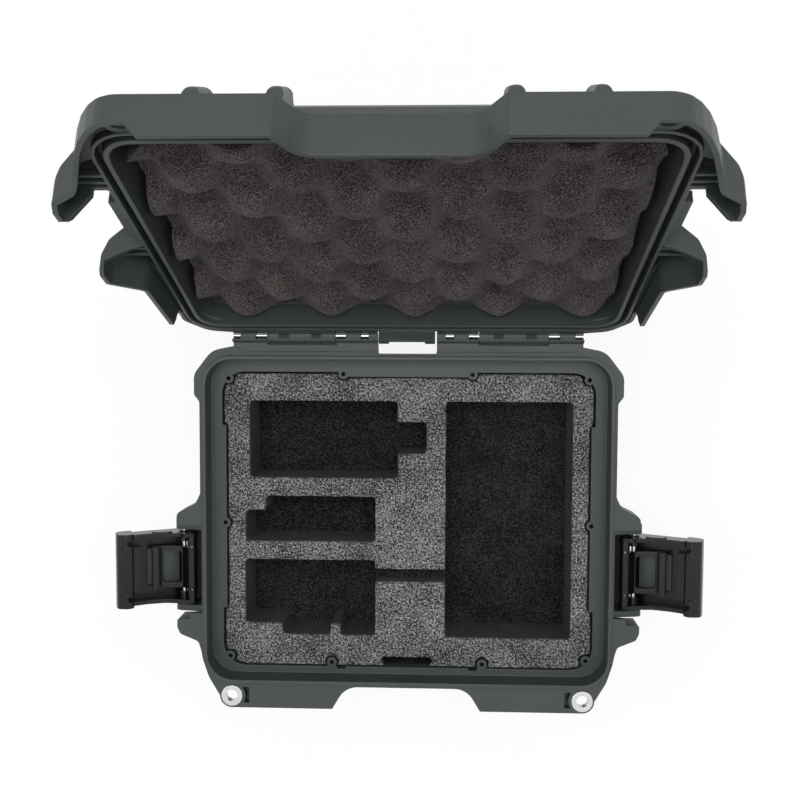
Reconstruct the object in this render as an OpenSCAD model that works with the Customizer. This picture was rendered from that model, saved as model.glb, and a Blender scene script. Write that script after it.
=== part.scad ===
// Small hard case with side latches, a hinged lid and cut foam.
// Origin: centre of the base's bottom face. +X right, +Y towards the hinge, +Z up.
// The case is drawn as it stands open: lid back on its stop, both latches swung out.

/* [Seal and shell] */
// Inside width of the seal lip
lip_in_w = 263; // [250:1:285]
// Inside depth of the seal lip
lip_in_d = 212.2; // [200:0.2:230]
// Inside corner radius of the seal lip
lip_r = 17; // [12:1:22]
// Height of the base up to the parting plane
base_h = 104; // [90:1:130]
// Height of the lid's flat top above the parting plane
lid_h = 39; // [36:1:55]
// Wall thickness of both shells
wall = 3; // [2.4:0.1:3.6]
// Thickness of the seal lip
lip_t = 2.2; // [1.8:0.1:2.6]
// Height of the seal lip above the flange
lip_h = 4; // [3:0.1:5]
// Depth of the screw ledge below the flange
ledge_depth = 13; // [10:0.5:18]
// Width of the screw ledge at the sides
ledge_w = 7.5; // [6:0.5:10]

/* [Flange] */
// Thickness of the flange plate
flange_t = 4; // [3:0.5:6]
// Height of the flange's hanging rim
rim_drop = 9; // [7:0.5:12]
// Flange beyond the lip's inside at the sides
side_edge = 4.7; // [4.2:0.1:7]
// Flange beyond the lip's inside at the front
front_edge = 19.9; // [17:0.1:26]
// Flange beyond the lip's inside at the back
back_edge = 5.1; // [4.6:0.1:6]
// Outer width of the finger notch in the front flange
notch_w = 98; // [80:1:120]
// Depth of the finger notch
notch_depth = 15; // [10:0.5:15]

/* [Hinge] */
// Distance of the hinge axis behind the flange's back edge
hinge_out = 10.3; // [9.5:0.1:13]
// Height of the hinge axis above the parting plane
hinge_up = 0.9; // [0.5:0.1:2]
// Radius of the hinge knuckles
knuckle_r = 4.5; // [4:0.1:5]
// Radius of the hinge pins
hinge_pin_r = 1.6; // [1.2:0.1:2]
// How far the lid stands open
lid_open = 112; // [95:1:115]

/* [Latches] */
// Middle of the latches along the side, from the case's middle
latch_y = -33.2; // [-40:0.1:-24]
// Overall width of the latch lever at its grip bar
lever_w = 49; // [46:1:52]
// Length of the latch lever from its pivot
lever_len = 45; // [42:1:50]
// Lever pivot outside the flange edge
pivot_out = 13.8; // [13:0.1:16]
// Lever pivot below the parting plane
pivot_drop = 12; // [11:0.5:15]
// Angle of the open lever above level
lever_open = 28; // [0:1:40]
// Angle of the open claw against its lever
claw_open = -24; // [-26:1:-16]
// Angle of the shut claw against its lever
claw_shut = 3; // [2:0.5:4]
// Width of the claw
claw_w = 28; // [24:1:30]
// Radius of the lever pins
latch_pin_r = 1.6; // [1.3:0.1:1.8]
// Radius of the claw pins
claw_pin_r = 1.5; // [1.2:0.1:1.7]
// Travel of the slide lock
lock_travel = 3; // [2:0.5:4]

/* [Padlock rings] */
// Ring centre to the flange's front edge
ring_edge = 8; // [7.5:0.5:10]
// Ring centre inside the lip's inside face
ring_in = 15.5; // [13:0.5:20]
// Hole radius of the padlock ring
ring_hole_r = 4; // [3:0.1:4.3]
// Outer radius of the ring's face
ring_face_r = 7; // [6.2:0.1:7.3]

/* [Handle] */
// Spacing of the handle's pivots between the inner ribs
handle_w = 100; // [85:1:104]
// Reach of the handle from its pivot to the grip
handle_reach = 42; // [36:1:50]
// Radius of the handle pins
handle_pin_r = 2; // [1.6:0.1:2.4]
// Height of the ribs on the lid
rib_h = 12; // [10:0.5:13]
// Width of the ribs on the lid
rib_w = 8; // [7:0.5:10]

/* [Foam] */
// Thickness of the cut foam insert
insert_t = 40; // [30:1:50]
// Gap between the foam and the shell
foam_gap = 0.5; // [0.3:0.1:1]
// Spacing of the foam bumps across the lid
bump_pitch = 52; // [50:1:60]
// Spacing of every second row of bumps
bump_rows = 51; // [50:1:60]
// Height of the foam bumps
bump_h = 18; // [12:1:18]

/* [Pressure valve] */
// Height of the valve below the parting plane
valve_drop = 40; // [36:1:60]
// Radius of the valve's threaded body
valve_r = 6; // [5:0.5:7]

/* [Hidden] */

olive = "#4a544c";
black = "#26272a";
steel = "#b9bcbe";
foam_grey = "#5d5f5e";
foam_brown = "#453f3d";
left = -1;
right = 1;

// Fits
run = 0.06;      // radial play of a turning pin
slip = 0.35;     // play beside a moving piece
overlap = 1;     // how far joined shapes run into each other
facets = 6;      // steps of a rounded corner
round_n = 48;

// Case outlines, seen from above
lip_x = lip_in_w / 2;
lip_y = lip_in_d / 2;
edge_x = lip_x + side_edge;
front_y = lip_y + front_edge;
back_y = lip_y + back_edge;
ring_x = lip_x - ring_in;
ring_y = front_y - ring_edge;
hinge_y = back_y + hinge_out;
hinge_z = base_h + hinge_up;
notch_flat = notch_w / 2 - 9;

ring_t = flange_t + 1;   // flange and ring insert at the ring
slot_mid = ring_x - 9.5;   // middle of the recess beside each ring
slot_r = 9;

// Latch places
pivot_x = edge_x + pivot_out;
pivot_z = base_h - pivot_drop;
guard_gap = lever_w + 2;
cheek_t = 4;
cheek_r = 5.2;
gap_front = latch_y - guard_gap / 2;
gap_back = latch_y + guard_gap / 2;
slot_w = 4.2;      // slot that takes the inner wall of the lid's front ear
guard_edge = gap_front - cheek_t - slot_w;
wall_a = gap_front - cheek_t - 0.35;
guard_x = pivot_x + 2.3;
slot_x = guard_x - 8.8;
pocket_x = edge_x - 0.6;
ear_x = pivot_x + 8.4;

// Walls of the base
neck_x = lip_x + wall;
neck_y = lip_y + wall;
ledge_z = base_h - ledge_depth;
mouth_x = lip_x - ledge_w;
mouth_front = lip_y - 4.6;
mouth_back = lip_y - 8.6;
mouth_r = lip_r - 2;
base_draft = 4.5;

// Pressure valve: flat seat in the front wall, notch in the foam in front of it
valve_x = 19.5;
valve_z = base_h - valve_drop;
valve_back = -mouth_front - 0.5;
valve_notch = 18.3;
valve_notch_y = -mouth_front + 5.9;

// Ribs on the lid, and the grooves they stack into
rib_places = [handle_w / 2 + 1 + rib_w / 2, 94];

// Corner fillets of an outline given as [x, y, radius]
function unit(v) = v / norm(v);
function turned(v, a) = [v.x * cos(a) - v.y * sin(a), v.x * sin(a) + v.y * cos(a)];
function corner(a, b, c, r) =
    let (u = unit([b.x - a.x, b.y - a.y]), v = unit([c.x - b.x, c.y - b.y]),
        side = sign(cross(u, v)), turn = acos(min(1, max(-1, u * v))),
        reach = min(r * tan(turn / 2), 0.49 * norm([b.x - a.x, b.y - a.y]),
            0.49 * norm([c.x - b.x, c.y - b.y])),
        fit_r = reach / max(tan(turn / 2), 0.001),
        start = [b.x, b.y] - u * reach,
        centre = start + turned(u, 90 * side) * fit_r)
    (r < 0.3 || turn < 1) ? [[b.x, b.y]]
        : [for (k = [0:facets]) centre + turned(start - centre, side * turn * k / facets)];
function fillet(p) = let (n = len(p))
    [for (i = [0:n - 1]) each corner(p[(i + n - 1) % n], p[i], p[(i + 1) % n], p[i][2])];
// The same outline with every edge moved out by d
function grow(p, d) = let (n = len(p))
    [for (i = [0:n - 1])
        let (a = p[(i + n - 1) % n], b = p[i], c = p[(i + 1) % n],
            u = unit([b.x - a.x, b.y - a.y]), v = unit([c.x - b.x, c.y - b.y]),
            m = [u.y, -u.x], q = [v.y, -v.x], k = d / (1 + m * q))
        [b.x + k * (m.x + q.x), b.y + k * (m.y + q.y),
            b[2] < 0.3 ? 0 : max(0.4, b[2] + (cross(u, v) > 0 ? d : -d))]];
// A right-hand half outline, front to back, and its mirror image
function both(h) = concat(h, [for (i = [len(h) - 1:-1:0]) [-h[i].x, h[i].y, h[i][2]]]);
function box_path(x0, x1, y0, y1, r) = [[x0, y0, r], [x1, y0, r], [x1, y1, r], [x0, y1, r]];

module plate(path, z0, z1) {
    translate([0, 0, z0]) linear_extrude(z1 - z0) polygon(fillet(path));
}

module block(x0, x1, y0, y1, z0, z1) {
    translate([x0, y0, z0]) cube([x1 - x0, y1 - y0, z1 - z0]);
}

// A rounded rectangle drawn in at each level: [z, sides in, front in, back in]
module loft(levels, x, front, back, r) {
    hull() for (s = levels)
        translate([0, 0, s[0]]) linear_extrude(0.01)
            polygon(fillet(box_path(s[1] - x, x - s[1], s[2] - front, back - s[3], r)));
}

module rod_x(x0, x1, y, z, r) {
    translate([x0, y, z]) rotate([0, 90, 0]) cylinder(h = x1 - x0, r = r, $fn = round_n);
}

module rod_y(x, y0, y1, z, r) {
    translate([x, y0, z]) rotate([-90, 0, 0]) cylinder(h = y1 - y0, r = r, $fn = round_n);
}

// An outline in the side view (y, z), extruded from x0 to x1
module side_cut(x0, x1, points) {
    translate([x0, 0, 0]) rotate([90, 0, 90]) linear_extrude(x1 - x0) polygon(points);
}

// An outline in the front view (x, z), extruded from y0 to y1
module front_cut(y0, y1, points) {
    translate([0, y1, 0]) rotate([90, 0, 0]) linear_extrude(y1 - y0) polygon(points);
}

module on_side(side) {
    if (side == left) mirror([1, 0, 0]) children();
    else children();
}

// Base flange, right half
base_half = concat(
    [[notch_flat, notch_depth - front_y, 14],
        [notch_w / 2, -front_y, 0.6]],
    [for (a = [-90:15:0])
        [ring_x + ring_edge * cos(a), ring_edge * sin(a) - ring_y, 0]],
    [[edge_x - 4.8, 20.4 - front_y, 20],
        [edge_x - 1, 32 - front_y, 20],
        [edge_x + 0.4, 39 - front_y, 6],
        [edge_x + 2, gap_front - 23, 4],
        [guard_x - 2, gap_front - 18, 3],
        [guard_x, gap_front - 13.5, 3],
        [guard_x, guard_edge, 1],
        [slot_x, guard_edge, 0.8],
        [slot_x, gap_front - cheek_t, 0.4],
        [pocket_x, gap_front - cheek_t, 0],
        [pocket_x, gap_back + 3.6, 0],
        [guard_x, gap_back + 3.6, 1.5],
        [guard_x - 0.4, gap_back + 12, 4],
        [edge_x + 3.5, gap_back + 18, 4],
        [edge_x, gap_back + 25, 6],
        [edge_x, back_y - 33, 3],
        [edge_x + 3.5, back_y - 28.5, 3],
        [edge_x + 3.5, back_y - 15, 10],
        [edge_x - 8.5, back_y + 0.6, 14],
        [edge_x - 24, back_y + 3.6, 4],
        [edge_x - 30, back_y, 4]]);

// Lid rim, right half, outside the base flange
skirt_gap = 1.2;
skirt_t = 2.6;
skirt_x = edge_x + 3.2 + skirt_t;
lid_front = front_y + skirt_gap + skirt_t;
lid_half = [
    [notch_flat - 2.5, notch_depth - lid_front, 12],
    [notch_w / 2 - 1, -lid_front, 1.5],
    [ring_x, -lid_front, 14],
    [ring_x + 6.5, 2.2 - lid_front, 14],
    [ring_x + 12.2, 7.4 - lid_front, 14],
    [ring_x + 17.5, 14.6 - lid_front, 14],
    [edge_x + 2.8, 25.3 - lid_front, 14],
    [edge_x + 10.8, gap_front - 24.5, 5],
    [ear_x - 1, gap_front - 20, 3],
    [ear_x, gap_front - 14, 3],
    [ear_x, wall_a, 0.8],
    [edge_x + 1, wall_a, 1],
    [edge_x + 1, gap_back + slip, 1],
    [ear_x, gap_back + slip, 0.8],
    [ear_x, gap_back + 14, 6],
    [skirt_x + 1, gap_back + 30, 8],
    [skirt_x, back_y - 31, 2],
    [edge_x + 3.6, back_y - 27, 2],
    [edge_x + 3.6, back_y - 15, 10],
    [edge_x - 8.5, back_y + 0.8, 14],
    [edge_x - 24, back_y + 3.8, 4],
    [edge_x - 30, back_y + 1.2, 4]];

// ---------------------------------------------------------------- base

// Panel screws: [x, y] of the right-hand ones
boss_r = 3.5;
screw_r = 1.35;
screw_depth = 12;
bosses = [
    [mouth_x - 4.3, mouth_back - 4.5],
    [mouth_x - 1.7, -4],
    [mouth_x - 4.3, 6.2 - mouth_front],
    [mouth_x - 81.2, mouth_back - 1.3],
    [mouth_x - 73.4, 2.8 - mouth_front]];

// Wider stretches of the ledge at each side and at the back
side_ledge = 2.6;
side_ledge_t = 6;
side_ledge_y = [-62, 62];
back_ledge = 3.1;
back_ledge_x = 46;

// Hinge stretches along x, from the middle outwards
hinge_in = 19.1;
lid_knuckle = [46.3, 90.7];
hinge_end = 113.3;
base_knuckles = [[hinge_in, lid_knuckle[0] - slip], [lid_knuckle[1] + slip, hinge_end]];

module base_hollow() {
    loft([[wall + 1, base_draft + 3, 3 + base_draft, 3 + base_draft],
          [wall + 5, base_draft, base_draft, base_draft], [ledge_z + 0.01, 0, 0, 0]],
        mouth_x, mouth_front, mouth_back, mouth_r);
}

module base_outside() {
    loft([[0, base_draft + 6, base_draft + 6, base_draft + 6],
          [1.6, base_draft + 2.2, base_draft + 2.2, base_draft + 2.2],
          [6, base_draft, base_draft, base_draft], [ledge_z - 4, 0, 0, 0]],
        mouth_x + wall, mouth_front + wall, mouth_back + wall, mouth_r + wall);
}

// Widening below the ledge, from the body out to the seal wall
module base_neck() {
    hull() {
        plate(box_path(-mouth_x - wall, mouth_x + wall, -mouth_front - wall, mouth_back + wall,
            mouth_r + wall), ledge_z - 10, ledge_z - 9.9);
        plate(box_path(-neck_x, neck_x, -neck_y, neck_y, lip_r + wall), ledge_z - 3.5, ledge_z - 3.4);
    }
    plate(box_path(-neck_x, neck_x, -neck_y, neck_y, lip_r + wall), ledge_z - 3.5, base_h);
}

module base_flange() {
    outline = both(base_half);
    rim = grow(outline, -1.2);
    plate(outline, base_h - flange_t, base_h);
    difference() {
        plate(rim, base_h - rim_drop, base_h - flange_t + 0.01);
        plate(grow(rim, -2.2), base_h - rim_drop - 1, base_h - flange_t - 0.01);
    }
}

// Upright webs that stiffen the flange
module flange_webs() {
    web_t = 2.4;
    foot = base_h - 34;
    for (side = [left, right]) on_side(side) {
        for (w = [[28, notch_depth], [62, 0], [96, 0]])
            side_cut(w[0] - web_t / 2, w[0] + web_t / 2,
                [[w[1] + 2 - front_y, base_h - flange_t], [w[1] + 2 - front_y, base_h - rim_drop],
                 [-mouth_front - 1, foot], [-mouth_front - 1, base_h - flange_t]]);
        for (y = [30, 52, 74])
            front_cut(y - web_t / 2, y + web_t / 2,
                [[mouth_x - 1, foot], [edge_x - 2, base_h - rim_drop],
                 [edge_x - 2, base_h - flange_t], [mouth_x - 1, base_h - flange_t]]);
        for (x = [32, 68, 104])
            side_cut(x - web_t / 2, x + web_t / 2,
                [[mouth_back + 1, base_h - flange_t], [mouth_back + 1, foot],
                 [back_y - 1.5, base_h - rim_drop], [back_y - 1.5, base_h - flange_t]]);
    }
}

// Cheeks that hold the lever pin, and the boxes outside them
module latch_guards() {
    for (side = [left, right]) on_side(side) {
        for (y = [gap_front - cheek_t, gap_back]) {
            rod_y(pivot_x, y, y + cheek_t, pivot_z, cheek_r);
            front_cut(y, y + cheek_t,
                [[mouth_x, pivot_z - 27], [pivot_x - 0.5, pivot_z - 14.8], [pivot_x + 3.5, pivot_z - 4],
                 [pivot_x + 0.5, pivot_z + cheek_r], [neck_x - overlap, base_h - flange_t]]);
        }
        // shelf between the cheeks, below the lever's sweep
        front_cut(gap_front - overlap, gap_back + overlap,
            [[mouth_x, pivot_z - 26.5], [pivot_x - 0.5, pivot_z - 14.8], [pivot_x - 0.5, pivot_z - 12.4],
             [neck_x - overlap, pivot_z - 19.5], [mouth_x, pivot_z - 22]]);
        difference() {
            union() {
                plate([[neck_x - overlap, gap_front - 23, 0], [edge_x + 2, gap_front - 23, 4],
                    [guard_x - 2, gap_front - 18, 3], [guard_x, gap_front - 13.5, 3],
                    [guard_x, guard_edge, 1], [neck_x - overlap, guard_edge, 0]],
                    base_h - 19, base_h - 1);
                plate([[neck_x - overlap, gap_back + cheek_t - slip, 0],
                    [guard_x, gap_back + cheek_t - slip, 1],
                    [guard_x - 0.4, gap_back + 12, 4], [edge_x + 3.5, gap_back + 18, 4],
                    [neck_x - overlap, gap_back + 22, 0]], base_h - 19, base_h - 1);
            }
            plate(box_path(neck_x, guard_x - 2.4, gap_front - 16, guard_edge - 2.2, 1),
                base_h - 20, base_h - flange_t);
            plate(box_path(neck_x, guard_x - 2.4, gap_back + cheek_t + 1.2, gap_back + 10, 1),
                base_h - 20, base_h - flange_t);
        }
        // raised seat over the pin's rear end
        rod_y(pivot_x, gap_back, gap_back + cheek_t + 2, pivot_z, cheek_r);
    }
}

module hinge_base() {
    seat = hinge_z - knuckle_r;
    for (side = [left, right]) on_side(side) {
        for (k = base_knuckles) {
            rod_x(k[0], k[1], hinge_y, hinge_z, knuckle_r);
            side_cut(k[0], k[1], [[back_y - 3, base_h - rim_drop - 4], [back_y - 3, base_h - 0.2],
                [hinge_y, base_h - 0.2], [hinge_y + knuckle_r, hinge_z],
                [hinge_y + knuckle_r - 1.2, seat + 1], [hinge_y, seat - 0.5]]);
        }
        block(hinge_in, hinge_end, back_y - 3, hinge_y - knuckle_r - 1.2,
            base_h - rim_drop, base_h - 0.3);
        block(lid_knuckle[0] - overlap, lid_knuckle[1] + overlap, back_y - 3, hinge_y - 2,
            base_h - rim_drop, hinge_z - knuckle_r - 0.7);
    }
}

// Windows over the hinge pin in the base's knuckles
module hinge_windows() {
    for (side = [left, right]) on_side(side)
        for (w = [[24.8, 30], [39.6, 50], [85, 97.9], [107.6, 114]])
            block(w[0], w[1], hinge_y - hinge_pin_r - 0.6, hinge_y + knuckle_r + 1,
                hinge_z + 0.2, hinge_z + knuckle_r + 1);
}

module base_shell() {
    color(olive) difference() {
        union() {
            base_outside();
            base_neck();
            base_flange();
            flange_webs();
            latch_guards();
            hinge_base();
            plate(box_path(-lip_x - lip_t, lip_x + lip_t, -lip_y - lip_t, lip_y + lip_t,
                lip_r + lip_t), base_h - 1, base_h + lip_h);
            for (side = [left, right]) on_side(side) // front corners carry the rings
                translate([ring_x, -ring_y, base_h - ring_t])
                    cylinder(h = ring_t, r = ring_edge - 0.2, $fn = round_n);
            for (side = [left, right]) on_side(side)
                block(slot_mid - 5, ring_x - 6, 2 - front_y, 15 - front_y, base_h - rim_drop, base_h - 1);
            plate(box_path(-valve_x - wall, valve_x + wall, valve_back - wall, 1 - mouth_front, 2),
                valve_z - 2 * valve_r - wall, base_h - flange_t);
        }
        difference() {
            base_hollow();
            for (side = [left, right]) on_side(side) {
                for (b = bosses)
                    translate([b.x, b.y, ledge_z - 16]) cylinder(h = 17, r = boss_r, $fn = 32);
                block(mouth_x - side_ledge, mouth_x + 1, side_ledge_y[0], side_ledge_y[1],
                    ledge_z - side_ledge_t, ledge_z + 1);
                block(-1, back_ledge_x, mouth_back - back_ledge, mouth_back + 1,
                    ledge_z - side_ledge_t, ledge_z + 1);
            }
        }
        plate(box_path(-lip_x, lip_x, -lip_y, lip_y, lip_r), ledge_z, base_h + lip_h + 1);
        for (side = [left, right]) on_side(side) {
            for (b = bosses)
                translate([b.x, b.y, ledge_z - screw_depth])
                    cylinder(h = screw_depth + 1, r = screw_r, $fn = 24);
            // slots beside the front screws
            block(41.5, 47, -mouth_front - 1.6, -mouth_front + 1, ledge_z - 8, ledge_z + 1);
            // padlock ring seat
            translate([ring_x, -ring_y, base_h - 30]) cylinder(h = 40, r = ring_hole_r + 1.4, $fn = round_n);
            translate([ring_x, -ring_y, base_h - 1]) cylinder(h = 2, r = ring_face_r + 0.1, $fn = round_n);
            translate([ring_x, -ring_y, base_h - 30])
                cylinder(h = 30 - ring_t, r = ring_edge + 0.2, $fn = round_n);
            // blind recess beside it, concave round the ring
            difference() {
                block(slot_mid - 2.1, slot_mid + 2.1, -ring_y - 4.8, -ring_y + 5.9, base_h - 7, base_h + 1);
                translate([ring_x, -ring_y, base_h - 8]) cylinder(h = 10, r = slot_r, $fn = round_n);
            }
            rod_y(pivot_x, gap_front - cheek_t - 1, gap_back + cheek_t + 0.5, pivot_z, latch_pin_r);
            rod_x(0, hinge_end + 5, hinge_y, hinge_z, hinge_pin_r);
        }
        // flat seat of the pressure valve
        block(-valve_x, valve_x, valve_back, 4 - mouth_front, valve_z - 2 * valve_r, ledge_z - 8);
        rod_y(0, valve_back - 20, valve_back + 1, valve_z, valve_r + 0.2);
        hinge_windows();
        // room for the lid's middle block to swing past the flange
        rod_x(-18.8, 18.8, hinge_y, hinge_z, 12.4);
        // grooves under the base that take the ribs of a case stacked below
        for (side = [left, right]) on_side(side) for (x = rib_places)
            block(x - rib_w / 2 - 1, x + rib_w / 2 + 1, -80, 78, -1, 2.2);
    }
}

// Cut foam: pockets as [x0, x1, y0, y1, depth]
pocket_r = 1.5;
through = insert_t + 1;
pockets = [
    [-105.5, -7, 27, 78, through],          // upper left
    [-8, 12.3, 43.7, 63.8, through],        // neck of the upper left one
    [-108.5, -21.8, -16.2, 4, through],     // middle left
    [-95, -21.8, 3, 13.5, through],         // its raised side
    [-109, -21.8, -72.4, -29.6, through],   // lower left
    [-83.8, -51.6, -80, -71.5, through],    // finger room below it
    [-44.6, -21.8, -80.2, -71.5, through],
    [-22.8, 26.5, -43, -35, 14],            // shallow channel to the large pocket
    [25.9, 109.2, -80.8, 77.8, through]];   // large right-hand pocket
foam_top = ledge_z - 1;
insert_z = foam_top - insert_t;

module foam_block(z0, z1) {
    share0 = 1 - (z0 - wall) / (ledge_z - wall);
    share1 = 1 - (z1 - wall) / (ledge_z - wall);
    in0 = base_draft * share0 + foam_gap;
    in1 = base_draft * share1 + foam_gap;
    loft([[z0, in0, in0, in0], [z1 - 0.01, in1, in1, in1]],
        mouth_x, mouth_front, mouth_back, mouth_r);
}

module base_foam_insert() {
    color(foam_grey) difference() {
        foam_block(insert_z, foam_top);
        for (side = [left, right]) on_side(side) {
            block(mouth_x - side_ledge - foam_gap, mouth_x + 1, side_ledge_y[0] - foam_gap,
                side_ledge_y[1] + foam_gap, ledge_z - side_ledge_t - foam_gap, base_h);
            block(-1, back_ledge_x + foam_gap, mouth_back - back_ledge - foam_gap, mouth_back + 1,
                ledge_z - side_ledge_t - foam_gap, base_h);
        }
        // notch over the pressure valve
        plate([[-valve_notch, valve_notch_y, 0], [valve_notch, valve_notch_y, 0],
            [valve_notch - 4.8, -mouth_front - 1, 0], [4.8 - valve_notch, -mouth_front - 1, 0]],
            insert_z - 1, base_h);
        for (p = pockets)
            plate(box_path(p[0], p[1], p[2], p[3], pocket_r), foam_top - p[4], base_h);
        for (side = [left, right]) on_side(side) for (b = bosses)
            translate([b.x, b.y, ledge_z - 17]) cylinder(h = 20, r = boss_r + foam_gap, $fn = 32);
    }
}

module base_foam_pad() {
    color(foam_grey) foam_block(wall + 5.2, insert_z - 0.3);
}

// ---------------------------------------------------------------- fixed hardware

module hinge_pin(side) {
    color(steel) on_side(side) rod_x(hinge_in + 0.4, hinge_end - 0.3, hinge_y, hinge_z, hinge_pin_r);
}

module padlock_ring(side) {
    color(steel) on_side(side) translate([ring_x, -ring_y, 0]) difference() {
        union() {
            translate([0, 0, base_h - ring_t - 0.6])
                cylinder(h = ring_t + 0.4, r = ring_hole_r + 1.4, $fn = round_n);
            translate([0, 0, base_h - 1]) cylinder(h = 1.4, r = ring_face_r, $fn = round_n);
        }
        translate([0, 0, base_h - 30]) cylinder(h = 40, r = ring_hole_r, $fn = round_n);
    }
}

valve_face = valve_back - wall;
seal_t = 1.2;

module valve_body() {
    color(black) difference() {
        union() {
            rod_y(0, valve_face - seal_t - 3, valve_face - seal_t, valve_z, 2 * valve_r - 1);
            rod_y(0, valve_face - seal_t - 1, valve_back + 3.4, valve_z, valve_r);
        }
        rod_y(0, valve_face - seal_t - 1.6, valve_back + 4, valve_z, valve_r - 2);
        for (a = [0:60:300])
            translate([0, 0, valve_z]) rotate([0, a, 0])
                block(-0.9, 0.9, valve_face - seal_t - 4, valve_face - seal_t - 1.4, 2, 8.4);
    }
}

module valve_nut() {
    color(black) difference() {
        translate([0, valve_back, valve_z]) rotate([-90, 0, 0]) cylinder(h = 3, r = valve_r + 3.5, $fn = 6);
        rod_y(0, valve_back - 1, valve_back + 4, valve_z, valve_r);
    }
}

module valve_seal() {
    color(black) difference() {
        rod_y(0, valve_face - seal_t, valve_face, valve_z, valve_r + 2.6);
        rod_y(0, valve_face - seal_t - 1, valve_face + 1, valve_z, valve_r);
    }
}

module valve_membrane() {
    color("white") rod_y(0, valve_back + 1, valve_back + 1.6, valve_z, valve_r - 2);
}

module latch_pin(side) {
    color(steel) on_side(side)
        rod_y(pivot_x, gap_front - cheek_t + 0.2, gap_back + cheek_t, pivot_z, latch_pin_r);
}

// ---------------------------------------------------------------- lid

// The lid and all it carries are drawn shut, then swung open about the hinge
module swung() {
    translate([0, hinge_y, hinge_z]) rotate([-lid_open, 0, 0])
        translate([0, -hinge_y, -hinge_z]) children();
}

rim_low = base_h + lip_h + 0.6;   // top of the seal lip's room
seal_high = rim_low + 4.4;        // top of the raised band over the seal
rim_high = base_h + 6.8;          // top of the lid's rim
lid_top = base_h + lid_h;
dome_x = lip_x + 2.5;
dome_front = lip_y + 2.5;
dome_back = lip_y + 2.5;
dome = [[rim_low, 0, 0, 0], [lid_top - 21, 2, 5, 1.6], [lid_top - 9, 5, 21, 4.6],
    [lid_top - 3, 9, 29.5, 7.6], [lid_top, 14.5, 34.5, 12.6]];

// Seal: two ridges under the rim with the gasket groove between them
groove_in = lip_x - 0.6;
groove_out = lip_x + lip_t + 0.9;
groove_deep = rim_low + 2.2;

module ring(inner_x, outer_x, z0, z1) {
    deep = lip_y - lip_x;
    difference() {
        plate(box_path(-outer_x, outer_x, -outer_x - deep, outer_x + deep, lip_r + outer_x - lip_x), z0, z1);
        plate(box_path(-inner_x, inner_x, -inner_x - deep, inner_x + deep, lip_r + inner_x - lip_x),
            z0 - 1, z1 + 1);
    }
}

module lid_hollow() {
    loft([[base_h - 1, 5.5, 5.5, 5.5], [lid_top - 24, 5.5, 7.4, 5.2], [lid_top - 11.4, 8, 23.4, 7.8],
          [lid_top - wall - 3, 12.4, 32.6, 11], [lid_top - wall, 18, 38, 16]],
        dome_x, dome_front, dome_back, lip_r);
}

// Front view of the rim and its ears, drawn in by d
function lid_face(d) =
    let (half = [[ear_x - d, -30], [ear_x - d, -6], [ear_x - 3.5 - d, 3.5 - d],
            [edge_x + 9.5 - d, 12.5 - d], [dome_x - 1, 20.5 - d]],
        round = [0, 7, 7, 9, 0])
    concat([for (i = [0:4]) [half[i].x, base_h + half[i].y, round[i]]],
        [for (i = [4:-1:0]) [-half[i].x, base_h + half[i].y, round[i]]]);

// Ears that flank the latches, from above
ear_a = [[dome_x - 4, wall_a, 0], [dome_x - 4, gap_front - 33, 0],
    [edge_x + 6, gap_front - 27, 6], [ear_x - 1, gap_front - 20, 3], [ear_x, gap_front - 14, 3],
    [ear_x, wall_a, 0.8]];
ear_b = [[dome_x - 4, gap_back + slip, 0], [ear_x, gap_back + slip, 0.8], [ear_x, gap_back + 14, 6],
    [skirt_x + 1, gap_back + 30, 8], [skirt_x - 2, gap_back + 44, 2], [dome_x - 4, gap_back + 46, 0]];

module rim_body(d) {
    intersection() {
        union() {
            plate(grow(both(lid_half), -d), base_h - 25 - d, rim_high - d);
            for (side = [left, right]) on_side(side) {
                plate(grow(ear_a, -d), base_h - 25 - d, base_h + 20);
                plate(grow(ear_b, -d), base_h - 25 - d, base_h + 20);
            }
        }
        front_cut(-lid_front - 1, back_y + 10, fillet(lid_face(d)));
    }
}

// Rim, and the wall that hangs from it outside the base's flange
module skirt() {
    intersection() {
        difference() {
            rim_body(0);
            rim_body(skirt_t);
        }
        union() {
            front_cut(-lid_front - 5, gap_front - 42,
                [[-edge_x - 20, rim_low + 5], [-edge_x - 20, base_h - 6.5], [-110, base_h - 6.5],
                 [-107, base_h - 10], [-104, base_h - 13.2], [104, base_h - 13.2],
                 [107, base_h - 10], [110, base_h - 6.5], [edge_x + 20, base_h - 6.5],
                 [edge_x + 20, rim_low + 5]]);
            for (side = [left, right]) on_side(side) {
                side_cut(lip_x - 12, ear_x + 5,
                    [[gap_front - 42.1, base_h + 25], [gap_front - 42.1, base_h - 6.5],
                     [gap_front - 29, base_h - 8.6], [gap_front - 21, base_h - 14],
                     [gap_front - 14, base_h - 17.5], [wall_a - 2, base_h - 17.5],
                     [wall_a, base_h - 15.5], [wall_a, base_h + 25]]);
                side_cut(lip_x - 2, ear_x + 5,
                    [[gap_back + slip, base_h + 25], [gap_back + slip, base_h - 13],
                     [gap_back + 3, base_h - 16.6], [gap_back + 14, base_h - 16.4],
                     [gap_back + 32, base_h - 12.6], [back_y - 36, base_h - 11],
                     [back_y - 32.5, base_h - 6], [back_y - 30.5, base_h + 0.5],
                     [back_y + 8, base_h + 0.5], [back_y + 8, base_h + 25]]);
                block(lip_x - 2, edge_x + 5, wall_a - overlap, gap_back + overlap,
                    base_h + 0.4, rim_high);
            }
            block(-lip_x, lip_x, gap_front - 42.1, back_y + 8, base_h + 0.5, rim_low + 5);
        }
    }
}

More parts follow.
